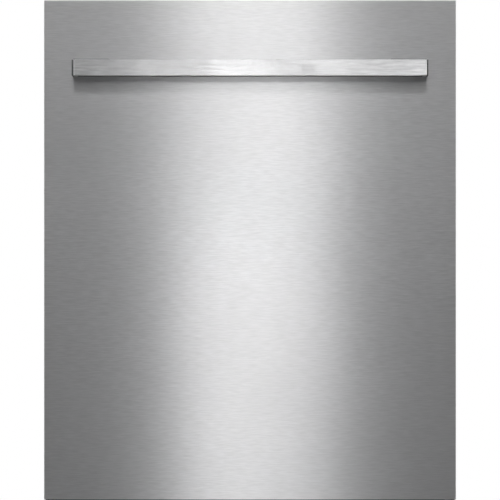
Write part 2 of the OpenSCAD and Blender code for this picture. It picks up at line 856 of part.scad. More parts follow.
module wheel_pair(y) color("#b2b6b8") {
    both_sides() difference() {
        union() {
            rod_x(y, wheel_z, wheel_x - 4, wheel_x + 4, wheel_r);
            rod_x(y, wheel_z, wheel_x - 5.5, wheel_x + 5.5, 7);
        }
        rod_x(y, wheel_z, wheel_x - 7, wheel_x + 7, 3.06);
        for (a = [0 : 60 : 300])
            translate([0, y, wheel_z]) rotate([a, 0, 0]) rod_x(0, 11.5, wheel_x - 7, wheel_x + 7, 2.2);
    }
}

module front_wheels() wheel_pair(wheel_places[0]);
module rear_wheels() wheel_pair(wheel_places[1]);

module plate_tines() color("#8e9295") {
    rod_x(fold_y, fold_z, -239.5, 239.5, 2);
    for (i = [-7 : 6])
        wire([(i + 0.5) * tine_pitch, fold_y, fold_z + 2.1], [(i + 0.5) * tine_pitch, fold_y, fold_z + 82]);
}

// ---- upper rack ----

module upper_rack() color("#8e9295") {
    z = upper_z + rise;
    cross_ys = [for (i = [0 : 12]) -140 + i * 30];
    long_xs = [for (i = [-4 : 4]) i * 55];
    half_rail = up_rim_x - rim_d / 2 - 0.1;
    rack_floor(up_x, up_y0, up_y1, upper_z, cross_ys, long_xs);
    rack_end([up_y0, z], [up_rim_y0, up_rim_z], half_rail, long_xs);
    rack_end([up_y1, z], [up_y1, up_rim_z], half_rail, long_xs);
    // Grip on the front rim
    block([-60, 60], [up_rim_y0 - 6, up_rim_y0 + 2], [up_rim_z - 5, up_rim_z + 13]);
    // Low tines for cups, in three rows along the rack
    for (x = [-80, 30, 138], i = [1 : 11]) wire([x, -140 + i * 30, z], [x, -140 + i * 30, upper_z + 52]);
    both_sides() {
        rack_side([up_x, z], [up_rim_x, up_rim_z], up_rim_y0, up_y1, cross_ys);
        // Side runners, with the brackets that hold the rack on them
        block([265, 272.6], [-160, 240], [rail_z - 7.6, rail_z + 7.6]);
        for (y = [-130, 30, 205]) block([up_rim_x - 3.6, 266], [y, y + 22], [rail_z - 6, rail_z + 6]);
        // Bearings of the cup shelf
        for (y = shelf_ends) difference() {
            union() {
                rod_y(shelf_x, shelf_z, y - 3, y + 3, 4.5);
                block([shelf_x, up_rim_x - 2.7], [y - 3, y + 3], [shelf_z - 3, shelf_z + 3]);
            }
            rod_y(shelf_x, shelf_z, y - 4, y + 4, 2.06);
        }
    }
}

module upper_feed_duct() color("#8c9194") {
    block([-14, 14], [20, 254], [459, 467.3]);
    rod_z(0, arm_y, 457.6, 462, 20);
    rod_z(0, arm_y, 446, 460, pivot_r);
}

// A cup shelf, drawn for the right side.
module cup_shelf() color("#7f8487") {
    rod_y(shelf_x, shelf_z, shelf_ends[0] - 5, shelf_ends[1] + 5, 2);
    x0 = shelf_x - shelf_w;
    wire([x0, -125, shelf_z], [x0, 175, shelf_z], 4);
    for (i = [0 : 10]) wire([shelf_x, -125 + i * 30, shelf_z], [x0, -125 + i * 30, shelf_z], wire_d);
}

module cup_shelf_right() cup_shelf();
module cup_shelf_left() mirror([1, 0, 0]) cup_shelf();

// ---- cutlery tray ----

module cutlery_tray() color("#7f8487") {
    x = tray_x;
    // Rim and low walls
    difference() {
        block([-x, x], [tray_y0, tray_y1], [tray_z, tray_z + tray_rim]);
        block([-x + 2.5, x - 2.5], [tray_y0 + 2.5, tray_y1 - 2.5], [tray_z - 1, tray_z + tray_rim + 1]);
        for (y = [-130, -30, 70, 170]) plate_yz(-x - 1, x + 1) round_rect(y, y + 55, tray_z + 24, tray_z + 42, 4);
        for (i = [-2 : 2]) plate_xz(tray_y0 - 1, tray_y1 + 1)
            round_rect(i * 100 - 38, i * 100 + 38, tray_z + 24, tray_z + 42, 4);
    }
    // Floor of slats, with three cross ribs
    for (i = [0 : 26]) {
        y = tray_y0 + 12 + i * 14.6;
        block([-x + 1, x - 1], [y, y + 3], [tray_z, tray_z + 3]);
    }
    for (i = [-4 : 4]) block([i * 58 - 1.2, i * 58 + 1.2], [tray_y0 + 1, tray_y1 - 1], [tray_z, tray_z + 14]);
    // Runners in the wall channels
    both_sides() block([x - 1, x + 12.6], [-160, 240], [tray_rail_z - 4.3, tray_rail_z + 4.3]);
    // Grip on the front wall
    block([-55, 55], [tray_y0 - 5, tray_y0 + 1], [tray_z + 30, tray_z + tray_rim]);
}

// ---- selection ----

base_tray();
tub_wrap();
tub_back();
tub_floor();
door_gasket();
front_frame();
side_panels();
top_cover();
rear_panel();
insulation_mat();
toe_kick_plate();
sump();
filter_plate();
circulation_pump();
drain_pump();
water_softener();
heat_exchanger();
inlet_valve();
drain_outlet();
power_inlet();
feed_pipe();
rack_rails();
latch_strike();
hinge_brackets();
balance_springs();
spring_links();
filter_cylinder();
salt_cap();
front_foot_left();
front_foot_right();
rear_foot();
lower_spray_arm();
decor_panel();
panel_filler();
handle_bar();
handle_posts();
handle_end_caps();
outer_door();
inner_door();
control_fascia();
display_window();
dispenser_housing();
hinge_arms();
door_latch();
dispenser_lid();
rinse_aid_cap();
power_button();
programme_button();
start_button();
lower_rack();
front_wheels();
rear_wheels();
plate_tines();
upper_slides();
upper_rack();
upper_feed_duct();
upper_spray_arm();
cup_shelf_left();
cup_shelf_right();
cutlery_tray();
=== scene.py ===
"""Looks of the built-in dishwasher: finishes, softened edges, wires, springs, seals, lights and camera.

Everything is in metres, in the CAD model's frame: +Z up, the door faces -Y, the floor is Z = 0.
"""
import json
import math

import bmesh
import bpy
from mathutils import Matrix, Vector, noise


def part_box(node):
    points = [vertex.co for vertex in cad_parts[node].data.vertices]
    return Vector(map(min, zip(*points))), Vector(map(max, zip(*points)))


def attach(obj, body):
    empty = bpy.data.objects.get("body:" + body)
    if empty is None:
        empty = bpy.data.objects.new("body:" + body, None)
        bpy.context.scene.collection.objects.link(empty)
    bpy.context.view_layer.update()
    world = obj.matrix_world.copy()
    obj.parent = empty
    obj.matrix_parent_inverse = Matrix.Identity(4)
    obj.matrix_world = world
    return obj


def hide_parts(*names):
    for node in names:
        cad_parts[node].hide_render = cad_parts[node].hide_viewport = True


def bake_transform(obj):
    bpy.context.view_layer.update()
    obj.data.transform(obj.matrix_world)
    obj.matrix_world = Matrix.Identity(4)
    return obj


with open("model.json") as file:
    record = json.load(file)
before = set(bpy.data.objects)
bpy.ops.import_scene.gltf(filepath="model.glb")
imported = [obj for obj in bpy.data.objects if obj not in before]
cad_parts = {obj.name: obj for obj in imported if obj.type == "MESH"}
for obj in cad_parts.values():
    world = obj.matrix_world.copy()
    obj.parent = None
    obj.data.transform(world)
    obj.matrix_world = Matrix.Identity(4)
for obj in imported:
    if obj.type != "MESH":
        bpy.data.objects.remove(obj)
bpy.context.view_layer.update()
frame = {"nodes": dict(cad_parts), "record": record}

MM = 0.001
NODES = frame["nodes"]
SLOT = {part["node"]: part["material_slot"] for part in frame["record"]["subparts"]}
BODY = {name: body for body, names in frame["record"]["behaviour"]["bodies"].items() for name in names}

# ---- finishes ----

# Shares of a finish's colour in its broad blotches, and on its worn edges where no colour is given
STAINED, WORN = 0.86, 1.25


def add(tree, kind, **settings):
    """A new shader node with its settings."""
    made = tree.nodes.new("ShaderNode" + kind)
    for key, value in settings.items():
        setattr(made, key, value)
    return made


def grain(tree, per_metre, detail=3.0, kind="TexNoise", out=0):
    """A noise pattern in the object's own space, with its count per metre along X, Y and Z."""
    place = add(tree, "TexCoord")
    scale = add(tree, "Mapping")
    scale.inputs["Scale"].default_value = per_metre
    pattern = add(tree, kind)
    pattern.inputs["Scale"].default_value = 1.0
    if kind == "TexNoise":
        pattern.inputs["Detail"].default_value = detail
    tree.links.new(place.outputs["Object"], scale.inputs["Vector"])
    tree.links.new(scale.outputs["Vector"], pattern.inputs["Vector"])
    return pattern.outputs[out]


def remap(tree, value, low, high, start=0.3, end=0.7):
    """A number that runs from low to high as the pattern runs from start to end."""
    ranged = add(tree, "MapRange")
    for name, number in (("From Min", start), ("From Max", end), ("To Min", low), ("To Max", high)):
        ranged.inputs[name].default_value = number
    tree.links.new(value, ranged.inputs["Value"])
    return ranged.outputs["Result"]


def blend_colours(tree, factor, first, second):
    """A mix of two colours, each a colour or another node's output."""
    mix = add(tree, "Mix", data_type="RGBA")
    tree.links.new(factor, mix.inputs["Factor"])
    for socket, colour in ((mix.inputs[6], first), (mix.inputs[7], second)):
        if isinstance(colour, bpy.types.NodeSocket):
            tree.links.new(colour, socket)
        else:
            socket.default_value = (*colour, 1.0)
    return mix.outputs[2]


def shade(colour, amount):
    """The colour made lighter or darker by a share."""
    return tuple(min(1.0, c * amount) for c in colour)


def finish(name, colour, roughness, metallic=0.0, fine=(900, 900, 900), contrast=0.08, spread=0.06,
           depth=0.02, blotch=9.0, worn=None, brushed=None, pattern=None, painted_shade_below=None, **sockets):
    """A material with fine grain, broad blotches, paler or darker edges, and a bump from the grain.

    fine is the grain's count per metre on each axis, contrast its colour range, spread its roughness
    range and depth its height in millimetres. brushed names the axis round which the metal is rough,
    and painted_shade_below is a painted shade: a dark colour given to the faces that look down.
    """
    made = bpy.data.materials.new(name)
    made.use_nodes = True
    tree = made.node_tree
    surface = tree.nodes["Principled BSDF"]
    surface.inputs["Metallic"].default_value = metallic
    for key, value in sockets.items():
        surface.inputs[key.replace("_", " ")].default_value = value
    small = pattern(tree) if pattern else grain(tree, fine)
    broad = grain(tree, (blotch, blotch, blotch), detail=4.0)
    grained = blend_colours(tree, remap(tree, small, 0, 1), shade(colour, 1 - contrast),
                            shade(colour, 1 + contrast))
    stained = blend_colours(tree, remap(tree, broad, 0, 0.5, 0.35, 0.75), grained, shade(colour, STAINED))
    edge = add(tree, "Attribute", attribute_name="edge")
    chipped = add(tree, "Math", operation="MULTIPLY")
    tree.links.new(edge.outputs["Fac"], chipped.inputs[0])
    tree.links.new(remap(tree, grain(tree, (140, 140, 140), 5.0), 0.25, 1, 0.4, 0.6), chipped.inputs[1])
    coloured = blend_colours(tree, chipped.outputs[0], stained, worn or shade(colour, WORN))
    # Painted shade: faces that look down are blended towards a dark colour
    if painted_shade_below:
        facing, height = add(tree, "TexCoord"), add(tree, "SeparateXYZ")
        tree.links.new(facing.outputs["Normal"], height.inputs[0])
        coloured = blend_colours(tree, remap(tree, height.outputs["Z"], 0, 1, -0.25, -0.7), coloured, painted_shade_below)
    tree.links.new(coloured, surface.inputs["Base Color"])
    rough_sum = add(tree, "Math", operation="ADD", use_clamp=True)
    tree.links.new(remap(tree, small, roughness - spread, roughness + spread), rough_sum.inputs[0])
    tree.links.new(remap(tree, broad, -spread / 2, spread), rough_sum.inputs[1])
    tree.links.new(rough_sum.outputs[0], surface.inputs["Roughness"])
    bump = add(tree, "Bump")
    bump.inputs["Distance"].default_value = depth * MM
    tree.links.new(small, bump.inputs["Height"])
    tree.links.new(bump.outputs["Normal"], surface.inputs["Normal"])
    if brushed:
        tangent = add(tree, "Tangent", direction_type="RADIAL", axis=brushed)
        tree.links.new(tangent.outputs["Tangent"], surface.inputs["Tangent"])
    return made


def cells(tree, per_metre):
    """Flat cells, each with its own level of grey."""
    colours = grain(tree, per_metre, kind="TexVoronoi", out="Color")
    grey = add(tree, "RGBToBW")
    tree.links.new(colours, grey.inputs["Color"])
    return grey.outputs["Val"]


def spangle(tree):
    """Zinc crystals about 5 mm across."""
    return cells(tree, (210, 210, 210))


def chips(tree):
    """Pressed wood chips lying flat in the board."""
    return cells(tree, (160, 60, 420))


def fibres(tree):
    """Matted threads: two stretched noises that cross."""
    across, along = grain(tree, (700, 120, 200), 6.0), grain(tree, (150, 800, 600), 6.0)
    both = add(tree, "Math", operation="MAXIMUM")
    tree.links.new(across, both.inputs[0])
    tree.links.new(along, both.inputs[1])
    return both.outputs[0]


def weave(tree):
    """The dots of a fine strainer mesh."""
    dots = grain(tree, (620, 620, 620), kind="TexVoronoi", out="Distance")
    return remap(tree, dots, 1, 0, 0.18, 0.42)


STEEL = (0.60, 0.60, 0.605)
FINISHES = {
    "stainless_panel": finish("panel_steel", STEEL, 0.33, 1.0, fine=(60, 300, 640), contrast=0.09,
                              spread=0.030, depth=0.008, blotch=3.0, brushed="X", worn=(0.45, 0.45, 0.46),
                              Anisotropic=1.0),
    # The handle's faces that look down get a painted shade
    "stainless_handle": finish("handle_steel", (0.74, 0.74, 0.745), 0.38, 1.0, fine=(40, 300, 330),
                               contrast=0.19, spread=0.06, depth=0.012, blotch=14.0, brushed="X",
                               painted_shade_below=(0.05, 0.05, 0.052), Anisotropic=0.9),
    "handle_post": finish("post_steel", (0.33, 0.33, 0.34), 0.42, 1.0, fine=(60, 500, 700), contrast=0.1),
    "dark_cap": finish("cap_plastic", (0.018, 0.018, 0.02), 0.45, fine=(1400, 1400, 1400), contrast=0.2),
    "tub_steel": finish("tub_steel", (0.58, 0.59, 0.60), 0.34, 1.0, fine=(520, 300, 26), contrast=0.05,
                        spread=0.035, depth=0.006, brushed="Z", Anisotropic=0.6),
    "zinc_sheet": finish("zinc_sheet", (0.43, 0.445, 0.46), 0.44, 0.9, contrast=0.07, spread=0.06,
                         depth=0.004, blotch=3.5, pattern=spangle, worn=(0.56, 0.575, 0.59)),
    "zinc_dark": finish("zinc_dark", (0.30, 0.31, 0.33), 0.45, 0.9, contrast=0.12, spread=0.09,
                        depth=0.004, pattern=spangle),
    "base_plastic": finish("base_plastic", (0.035, 0.037, 0.040), 0.55, fine=(1100, 1100, 1100),
                           contrast=0.25, depth=0.05, worn=(0.10, 0.10, 0.105)),
    "black_paint": finish("black_paint", (0.020, 0.020, 0.022), 0.38, fine=(800, 800, 800), contrast=0.2,
                          depth=0.02, worn=(0.09, 0.09, 0.095), Coat_Weight=0.15),
    "seal_rubber": finish("seal_rubber", (0.030, 0.031, 0.033), 0.72, fine=(600, 600, 600), contrast=0.25,
                          depth=0.04, Sheen_Weight=0.2),
    "felt": finish("felt", (0.46, 0.43, 0.37), 0.95, contrast=0.35, depth=0.5, pattern=fibres,
                   Sheen_Weight=0.4),
    "white_plastic": finish("white_plastic", (0.72, 0.72, 0.69), 0.40, fine=(900, 900, 900), contrast=0.03,
                            Subsurface_Weight=0.03),
    "grey_plastic": finish("grey_plastic", (0.27, 0.28, 0.29), 0.45, fine=(1000, 1000, 1000), contrast=0.06,
                           depth=0.03),
    "pale_plastic": finish("pale_plastic", (0.50, 0.52, 0.53), 0.42, fine=(1000, 1000, 1000), contrast=0.05,
                           depth=0.02),
    "filter_mesh": finish("filter_mesh", (0.50, 0.50, 0.50), 0.36, 1.0, contrast=0.55, depth=0.25,
                          pattern=weave),
    "rack_coating": finish("rack_coating", (0.30, 0.31, 0.32), 0.33, fine=(700, 700, 700), contrast=0.05,
                           depth=0.02, Coat_Weight=0.2),
    "wheel_plastic": finish("wheel_plastic", (0.52, 0.53, 0.54), 0.42, fine=(900, 900, 900), contrast=0.05),
    "fascia_black": finish("fascia_black", (0.012, 0.012, 0.014), 0.30, fine=(1500, 1500, 1500),
                           contrast=0.2, depth=0.008, Coat_Weight=0.3),
    "display_glass": finish("display_glass", (0.004, 0.004, 0.005), 0.06, fine=(90, 90, 90), contrast=0.1,
                            spread=0.02, depth=0.001, Coat_Weight=0.6),
    "key_plastic": finish("key_plastic", (0.06, 0.062, 0.066), 0.36, fine=(1500, 1500, 1500), contrast=0.12,
                          depth=0.01),
    "rinse_blue": finish("rinse_blue", (0.06, 0.15, 0.38), 0.35, fine=(900, 900, 900), contrast=0.06,
                         Subsurface_Weight=0.05),
    "board": finish("board", (0.42, 0.29, 0.16), 0.85, contrast=0.35, depth=0.2, pattern=chips),
    "bolt_steel": finish("bolt_steel", (0.50, 0.50, 0.51), 0.34, 1.0, fine=(500, 500, 500), contrast=0.12,
                         worn=(0.7, 0.7, 0.7)),
    "spring_steel": finish("spring_steel", (0.42, 0.43, 0.45), 0.28, 1.0, fine=(600, 600, 200),
                           contrast=0.15),
}
for name, cad in NODES.items():
    cad.data.materials.clear()
    cad.data.materials.append(FINISHES[SLOT[name]])

# ---- mesh tools ----


def show(name, work, body, slot, replaced=(), smooth_deg=60):
    """Turns a bmesh into a finished piece that rides on a body."""
    mesh = bpy.data.meshes.new(name)
    bmesh.ops.recalc_face_normals(work, faces=work.faces)
    work.to_mesh(mesh)
    work.free()
    mesh.shade_smooth()
    mesh.set_sharp_from_angle(angle=math.radians(smooth_deg))
    mesh.materials.append(FINISHES[slot])
    piece = bpy.data.objects.new(name, mesh)
    bpy.context.scene.collection.objects.link(piece)
    if body:
        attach(piece, body)
    if replaced:
        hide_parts(*replaced)
    return piece


def weigh_normals(piece):
    """Keeps the wide faces flat beside their rounded edges."""
    flatten = piece.modifiers.new("flat_faces", "WEIGHTED_NORMAL")
    flatten.keep_sharp = True


def round_edges(work, width, segments=2, sharper_than=35):
    """Bevels a bmesh's sharp edges and marks the new faces as edges for the finish."""
    mark = work.faces.layers.float.get("edge") or work.faces.layers.float.new("edge")
    sharp = [e for e in work.edges
             if len(e.link_faces) == 2 and e.calc_face_angle(0) > math.radians(sharper_than)]
    made = bmesh.ops.bevel(work, geom=sharp, offset=width, segments=segments, profile=0.6,
                           affect="EDGES", clamp_overlap=True)
    for face in made["faces"]:
        face[mark] = 1.0


def soften(node, width, segments=2):
    """A copy of a CAD node with its sharp edges rounded, shown in the node's place."""
    work = bmesh.new()
    work.from_mesh(NODES[node].data)
    bmesh.ops.remove_doubles(work, verts=work.verts, dist=0.002 * MM)
    bmesh.ops.dissolve_limit(work, angle_limit=math.radians(0.5), verts=work.verts, edges=work.edges)
    round_edges(work, width * MM, segments)
    piece = show(node + "_form", work, BODY[node], SLOT[node], [node])
    weigh_normals(piece)
    return piece


def rounded_block(work, low, high, radius, segments=3):
    """Adds a block with round edges to a bmesh, between two corners."""
    block = bmesh.new()
    middle, size = (low + high) / 2, high - low
    bmesh.ops.create_cube(block, size=1, matrix=Matrix.Translation(middle) @ Matrix.Diagonal((*size, 1)))
    round_edges(block, radius, segments)
    spare = bpy.data.meshes.new("spare")
    block.to_mesh(spare)
    block.free()
    work.from_mesh(spare)
    bpy.data.meshes.remove(spare)


def rounded_path(points, radius, steps=4, closed=False):
    """The points with each corner turned into a small arc."""
    count = len(points)
    out = []
    for i, point in enumerate(points):
        if not closed and i in (0, count - 1):
            out.append(point)
            continue
        before, after = points[i - 1] - point, points[(i + 1) % count] - point
        cut = min(radius, before.length * 0.45, after.length * 0.45)
        start, end = point + before.normalized() * cut, point + after.normalized() * cut
        for k in range(steps + 1):
            t = k / steps
            out.append(start * (1 - t) ** 2 + point * 2 * t * (1 - t) + end * t ** 2)
    return out


def bridge(work, first, second):
    """Joins two closed rings of points with faces."""
    for k in range(len(first)):
        n = (k + 1) % len(first)
        work.faces.new((first[k], first[n], second[n], second[k]))


def close_solid(work, rings):
    """Joins a row of rings into a closed solid."""
    for first, second in zip(rings, rings[1:]):
        bridge(work, first, second)
    for ring in (rings[0], rings[-1]):
        work.faces.new(ring)


def skin(work, rows):
    """Joins open rows of points into a sheet."""
    for first, second in zip(rows, rows[1:]):
        for k in range(len(first) - 1):
            work.faces.new((first[k], first[k + 1], second[k + 1], second[k]))


def close_rims(work, one, other):
    """Joins two sheets along their four sides."""
    for end in (0, -1):
        skin(work, [one[end], other[end]])
        skin(work, [[row[end] for row in one], [row[end] for row in other]])


def tube(work, path, radius, sides=8, closed=False):
    """Adds a round wire with domed ends along a path of points to a bmesh."""
    count = len(path)
    across = None
    rings = []
    for i, point in enumerate(path):
        ahead = path[(i + 1) % count] if closed or i < count - 1 else point
        behind = path[i - 1] if closed or i > 0 else point
        along = (ahead - behind).normalized()
        if across is None:
            across = along.orthogonal().normalized()
        across = (across - along * across.dot(along)).normalized()
        other = along.cross(across)
        ring = []
        for k in range(sides):
            turn = 2 * math.pi * k / sides
            ring.append(work.verts.new(point + (across * math.cos(turn) + other * math.sin(turn)) * radius))
        rings.append(ring)
    for i in range(count if closed else count - 1):
        bridge(work, rings[i], rings[(i + 1) % count])
    if closed:
        return
    dome = 0.6
    for ring, point, inner in ((rings[0], path[0], path[1]), (rings[-1], path[-1], path[-2])):
        out = (point - inner).normalized() * radius * dome
        small = [work.verts.new(point + (v.co - point) * dome + out) for v in ring]
        bridge(work, ring, small)
        work.faces.new(small)


def ring_round(work, at, axis, along, radii):
    """Adds a ring of points round an axis to a bmesh, with a radius for each point."""
    ring = []
    for k, radius in enumerate(radii):
        turn = 2 * math.pi * k / len(radii)
        a, b = radius * math.cos(turn), radius * math.sin(turn)
        spot = {"X": (along, a, b), "Y": (a, along, b), "Z": (a, b, along)}[axis]
        ring.append(work.verts.new(Vector(at) + Vector(spot)))
    return ring


def turned(work, outline, at, axis="Z", sides=32):
    """Adds a solid of revolution to a bmesh. The outline is (radius, place along the axis)."""
    close_solid(work, [ring_round(work, at, axis, along, [radius] * sides) for radius, along in outline])


def thread(work, at, length, radius, pitch, axis="Z", sides=20, per_turn=6):
    """Adds a screw thread to a bmesh: a rod whose radius follows a rising ridge."""
    depth = pitch * 0.28
    steps = int(length / pitch * per_turn)
    rings = []
    for i in range(steps + 1):
        along = length * i / steps
        phases = [(along / pitch - k / sides) % 1 for k in range(sides)]
        rings.append(ring_round(work, at, axis, along, [radius - depth * abs(2 * p - 1) for p in phases]))
    close_solid(work, rings)


# ---- hard pieces: CAD shapes with rounded edges, widths in millimetres ----

SOFTENED = {
    "decor_panel": 0.9, "handle_posts": 0.5, "handle_end_caps": 0.35, "inner_door": 0.5,
    "control_fascia": 0.9, "display_window": 0.25, "dispenser_housing": 0.7, "dispenser_lid": 0.8,
    "rinse_aid_cap": 0.9, "power_button": 0.6, "programme_button": 0.6, "start_button": 0.6,
    "hinge_arms": 0.3, "door_latch": 0.4, "hinge_brackets": 0.3, "spring_links": 0.2,
    "base_tray": 0.8, "toe_kick_plate": 0.5, "front_frame": 0.3, "side_panels": 0.3, "top_cover": 0.3,
    "rear_panel": 0.6, "tub_floor": 0.8, "sump": 0.8, "filter_plate": 0.5, "circulation_pump": 1.5,
    "drain_pump": 1.5, "water_softener": 1.5, "heat_exchanger": 1.2, "power_inlet": 0.8,
    "feed_pipe": 1.2, "latch_strike": 0.5, "filter_cylinder": 0.7, "salt_cap": 0.9,
    "lower_spray_arm": 2.0, "upper_spray_arm": 1.8, "upper_feed_duct": 1.5, "front_wheels": 0.7,
    "rear_wheels": 0.7, "cutlery_tray": 0.5, "upper_slides": 0.3, "rack_rails": 0.3, "outer_door": 0.3,
}
for name, width in SOFTENED.items():
    soften(name, width)

# ---- handle bar ----


def build_handle_bar():
    """The brushed bar, with a hairline groove before the set-in plate at each end."""
    low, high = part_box("handle_bar")
    plate, depth = 2.6 * MM, 0.25 * MM
    work = bmesh.new()
    rounded_block(work, Vector((low.x + plate, low.y, low.z)), Vector((high.x - plate, high.y, high.z)),
                  0.4 * MM)
    for side, groove in ((-1, 0.45 * MM), (1, 0.15 * MM)):
        outer, inner = side * high.x, side * (high.x - plate + groove)
        plate_low = Vector((min(outer, inner), low.y + depth, low.z + depth))
        plate_high = Vector((max(outer, inner), high.y, high.z - depth))
        rounded_block(work, plate_low, plate_high, 0.3 * MM, 2)
    weigh_normals(show("handle_bar_form", work, "door", "stainless_handle", ["handle_bar"]))

    # A dark strip under the bar, a painted shade standing in for the shade beneath it
    end_gap = 6.5 * MM
    work = bmesh.new()
    rounded_block(work, Vector((low.x + end_gap, low.y + 4 * MM, low.z - 1.1 * MM)),
                  Vector((high.x - end_gap, high.y - 1 * MM, low.z + 1 * MM)), 0.3 * MM, 2)
    show("handle_painted_shade_strip", work, "door", "dark_cap")


build_handle_bar()

# ---- racks ----

WIRE = 1.55 * MM
RIM_WIRE = 2.6 * MM
TINE_PITCH = 30 * MM
WALL_PITCH = 55 * MM


def ring_path(half_x, front, back, height):
    """A rounded rectangle at one height."""
    corners = [(-half_x, front), (half_x, front), (half_x, back), (-half_x, back)]
    return rounded_path([Vector((x, y, height)) for x, y in corners], 14 * MM, 6, closed=True)


def basket(work, floor, rim, first_y, count_y):
    """The floor, walls and rims of a wire rack. floor and rim are (half width, front, back, height)."""
    fx, f0, f1, fz = floor
    rx, r0, r1, rz = rim
    tube(work, ring_path(*floor), RIM_WIRE, closed=True)
    tube(work, ring_path(*rim), RIM_WIRE, closed=True)
    belt = 0.45
    middle = [a + (b - a) * belt for a, b in zip(floor, rim)]
    tube(work, ring_path(middle[0] + WIRE, middle[1] - WIRE, middle[2] + WIRE, middle[3]), WIRE,
         closed=True)
    for i in range(count_y):
        y = first_y + i * TINE_PITCH
        points = [(-rx, y, rz), (-fx, y, fz + 2 * MM), (fx, y, fz + 2 * MM), (rx, y, rz)]
        tube(work, rounded_path([Vector(p) for p in points], 9 * MM), WIRE)
    for i in range(-4, 5):
        x = i * WALL_PITCH
        points = [(x, r0, rz), (x, f0, fz), (x, f1, fz), (x, r1, rz)]
        tube(work, rounded_path([Vector(p) for p in points], 9 * MM), WIRE)


def build_grip(rack, rim):
    """A moulded grip on the middle of a rack's front rim, with a raised pad on its face."""
    rack_low, rack_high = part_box(rack)
    low = Vector((-60 * MM, rack_low.y + 0.6 * MM, rim[3] - 5 * MM))
    high = Vector((60 * MM, rim[1] + 2 * MM, rack_high.z))
    inset, raised = Vector((9 * MM, 0, 4.5 * MM)), Vector((0, 0.5 * MM, 0))
    work = bmesh.new()
    rounded_block(work, low, high, 2.2 * MM, 4)
    pad_high = Vector((high.x - inset.x, low.y + 1.4 * MM, high.z - inset.z))
    rounded_block(work, low + inset - raised, pad_high, 0.6 * MM, 2)
    show(rack + "_grip", work, rack, "grey_plastic")


def build_lower_rack():
    """The lower rack's wires, with its tine rows, wheel hangers, axles and folding row."""
    low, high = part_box("lower_rack")
    floor_z = low.z + 34 * MM
    rim = (high.x - 13.5 * MM, low.y + 5 * MM, high.y - 2.5 * MM, high.z - 13 * MM)
    floor = (rim[0] - 4 * MM, rim[1] + 9 * MM, rim[2] - 4 * MM, floor_z)
    work = bmesh.new()
    basket(work, floor, rim, -145 * MM, 13)
    for y in (-115 * MM, 125 * MM):
        for i in range(-7, 8):
            tube(work, [Vector((i * TINE_PITCH, y, floor_z + z * MM)) for z in (2, 30, 60, 79)], WIRE)
    # Bearings of the folding row, wheel hangers and axles
    fold_low, fold_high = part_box("plate_tines")
    fold_y, fold_z = 5 * MM, fold_low.z + 2 * MM
    for side in (-1, 1):
        inner, outer = sorted((side * 232 * MM, side * 238 * MM))
        ring = [(2.1 * MM, inner), (5 * MM, inner), (5 * MM, outer), (2.1 * MM, outer)]
        turned(work, ring, (0, fold_y, fold_z), "X", 20)
        for wheels in ("front_wheels", "rear_wheels"):
            wheel_low, wheel_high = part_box(wheels)
            y, z = (wheel_low.y + wheel_high.y) / 2, (wheel_low.z + wheel_high.z) / 2
            x0, x1 = sorted((side * (floor[0] - 1.5 * MM), side * (floor[0] + 2.5 * MM)))
            rounded_block(work, Vector((x0, y - 9 * MM, z - 8 * MM)), Vector((x1, y + 9 * MM, floor_z)),
                          1.2 * MM)
            axle = [Vector((side * floor[0], y, z)), Vector((side * (high.x - MM), y, z))]
            tube(work, axle, 2.95 * MM, 16)
    show("lower_rack_wires", work, "lower_rack", "rack_coating", ["lower_rack"])
    build_grip("lower_rack", rim)
    work = bmesh.new()
    tube(work, [Vector((x, fold_y, fold_z)) for x in (fold_low.x + MM, 0, fold_high.x - MM)], 1.95 * MM, 12)
    for i in range(-7, 7):
        x = (i + 0.5) * TINE_PITCH
        tube(work, [Vector((x, fold_y, fold_z + z * MM)) for z in (0, 30, 60, 81)], WIRE)
    show("folding_tine_wires", work, "plate_tines", "rack_coating", ["plate_tines"])


def build_upper_rack():
    """The upper rack's wires and tine rows, and the runners that it slides on."""
    low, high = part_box("upper_rack")
    floor_z = low.z + 2.5 * MM
    rim = (256 * MM, low.y + 6 * MM, high.y - 2.5 * MM, high.z - 13 * MM)
    floor = (rim[0] - 4 * MM, rim[1] + 7 * MM, rim[2], floor_z)
    work = bmesh.new()
    first_y = -140 * MM
    basket(work, floor, rim, first_y, 13)
    for x in (-80 * MM, 30 * MM, 138 * MM):
        for i in range(1, 12):
            y = first_y + i * TINE_PITCH
            tube(work, [Vector((x, y, floor_z + z * MM)) for z in (2, 25, 51)], WIRE)
    show("upper_rack_wires", work, "upper_rack", "rack_coating", ["upper_rack"])
    # Side runners with their brackets, and the shelf bearings
    rail_low, rail_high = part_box("upper_slides")
    rail_z = (rail_low.z + rail_high.z) / 2
    shelf_low, shelf_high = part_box("cup_shelf_right")
    shelf_x, shelf_z = shelf_high.x - 2 * MM, (shelf_low.z + shelf_high.z) / 2
    work = bmesh.new()
    for side in (-1, 1):
        x0, x1 = sorted((side * (high.x - 7.6 * MM), side * high.x))
        rounded_block(work, Vector((x0, -160 * MM, rail_z - 7.6 * MM)),
                      Vector((x1, 240 * MM, rail_z + 7.6 * MM)), 1.5 * MM)
        b0, b1 = sorted((side * 252.6 * MM, side * 266 * MM))
        for y in (-130 * MM, 30 * MM, 205 * MM):
            rounded_block(work, Vector((b0, y, rail_z - 6 * MM)), Vector((b1, y + 22 * MM, rail_z + 6 * MM)),
                          1.5 * MM)
        for y in (-140 * MM, 190 * MM):
            ring = [(2.1 * MM, -3 * MM), (4.5 * MM, -3 * MM), (4.5 * MM, 3 * MM), (2.1 * MM, 3 * MM)]
            turned(work, ring, (side * shelf_x, y, shelf_z), "Y", 20)
            a0, a1 = sorted((side * (shelf_x + 3.5 * MM), side * 253.4 * MM))
            rounded_block(work, Vector((a0, y - 3 * MM, shelf_z - 3 * MM)),
                          Vector((a1, y + 3 * MM, shelf_z + 3 * MM)), 0.5 * MM, 2)
    show("upper_rack_runners", work, "upper_rack", "pale_plastic")
    build_grip("upper_rack", rim)


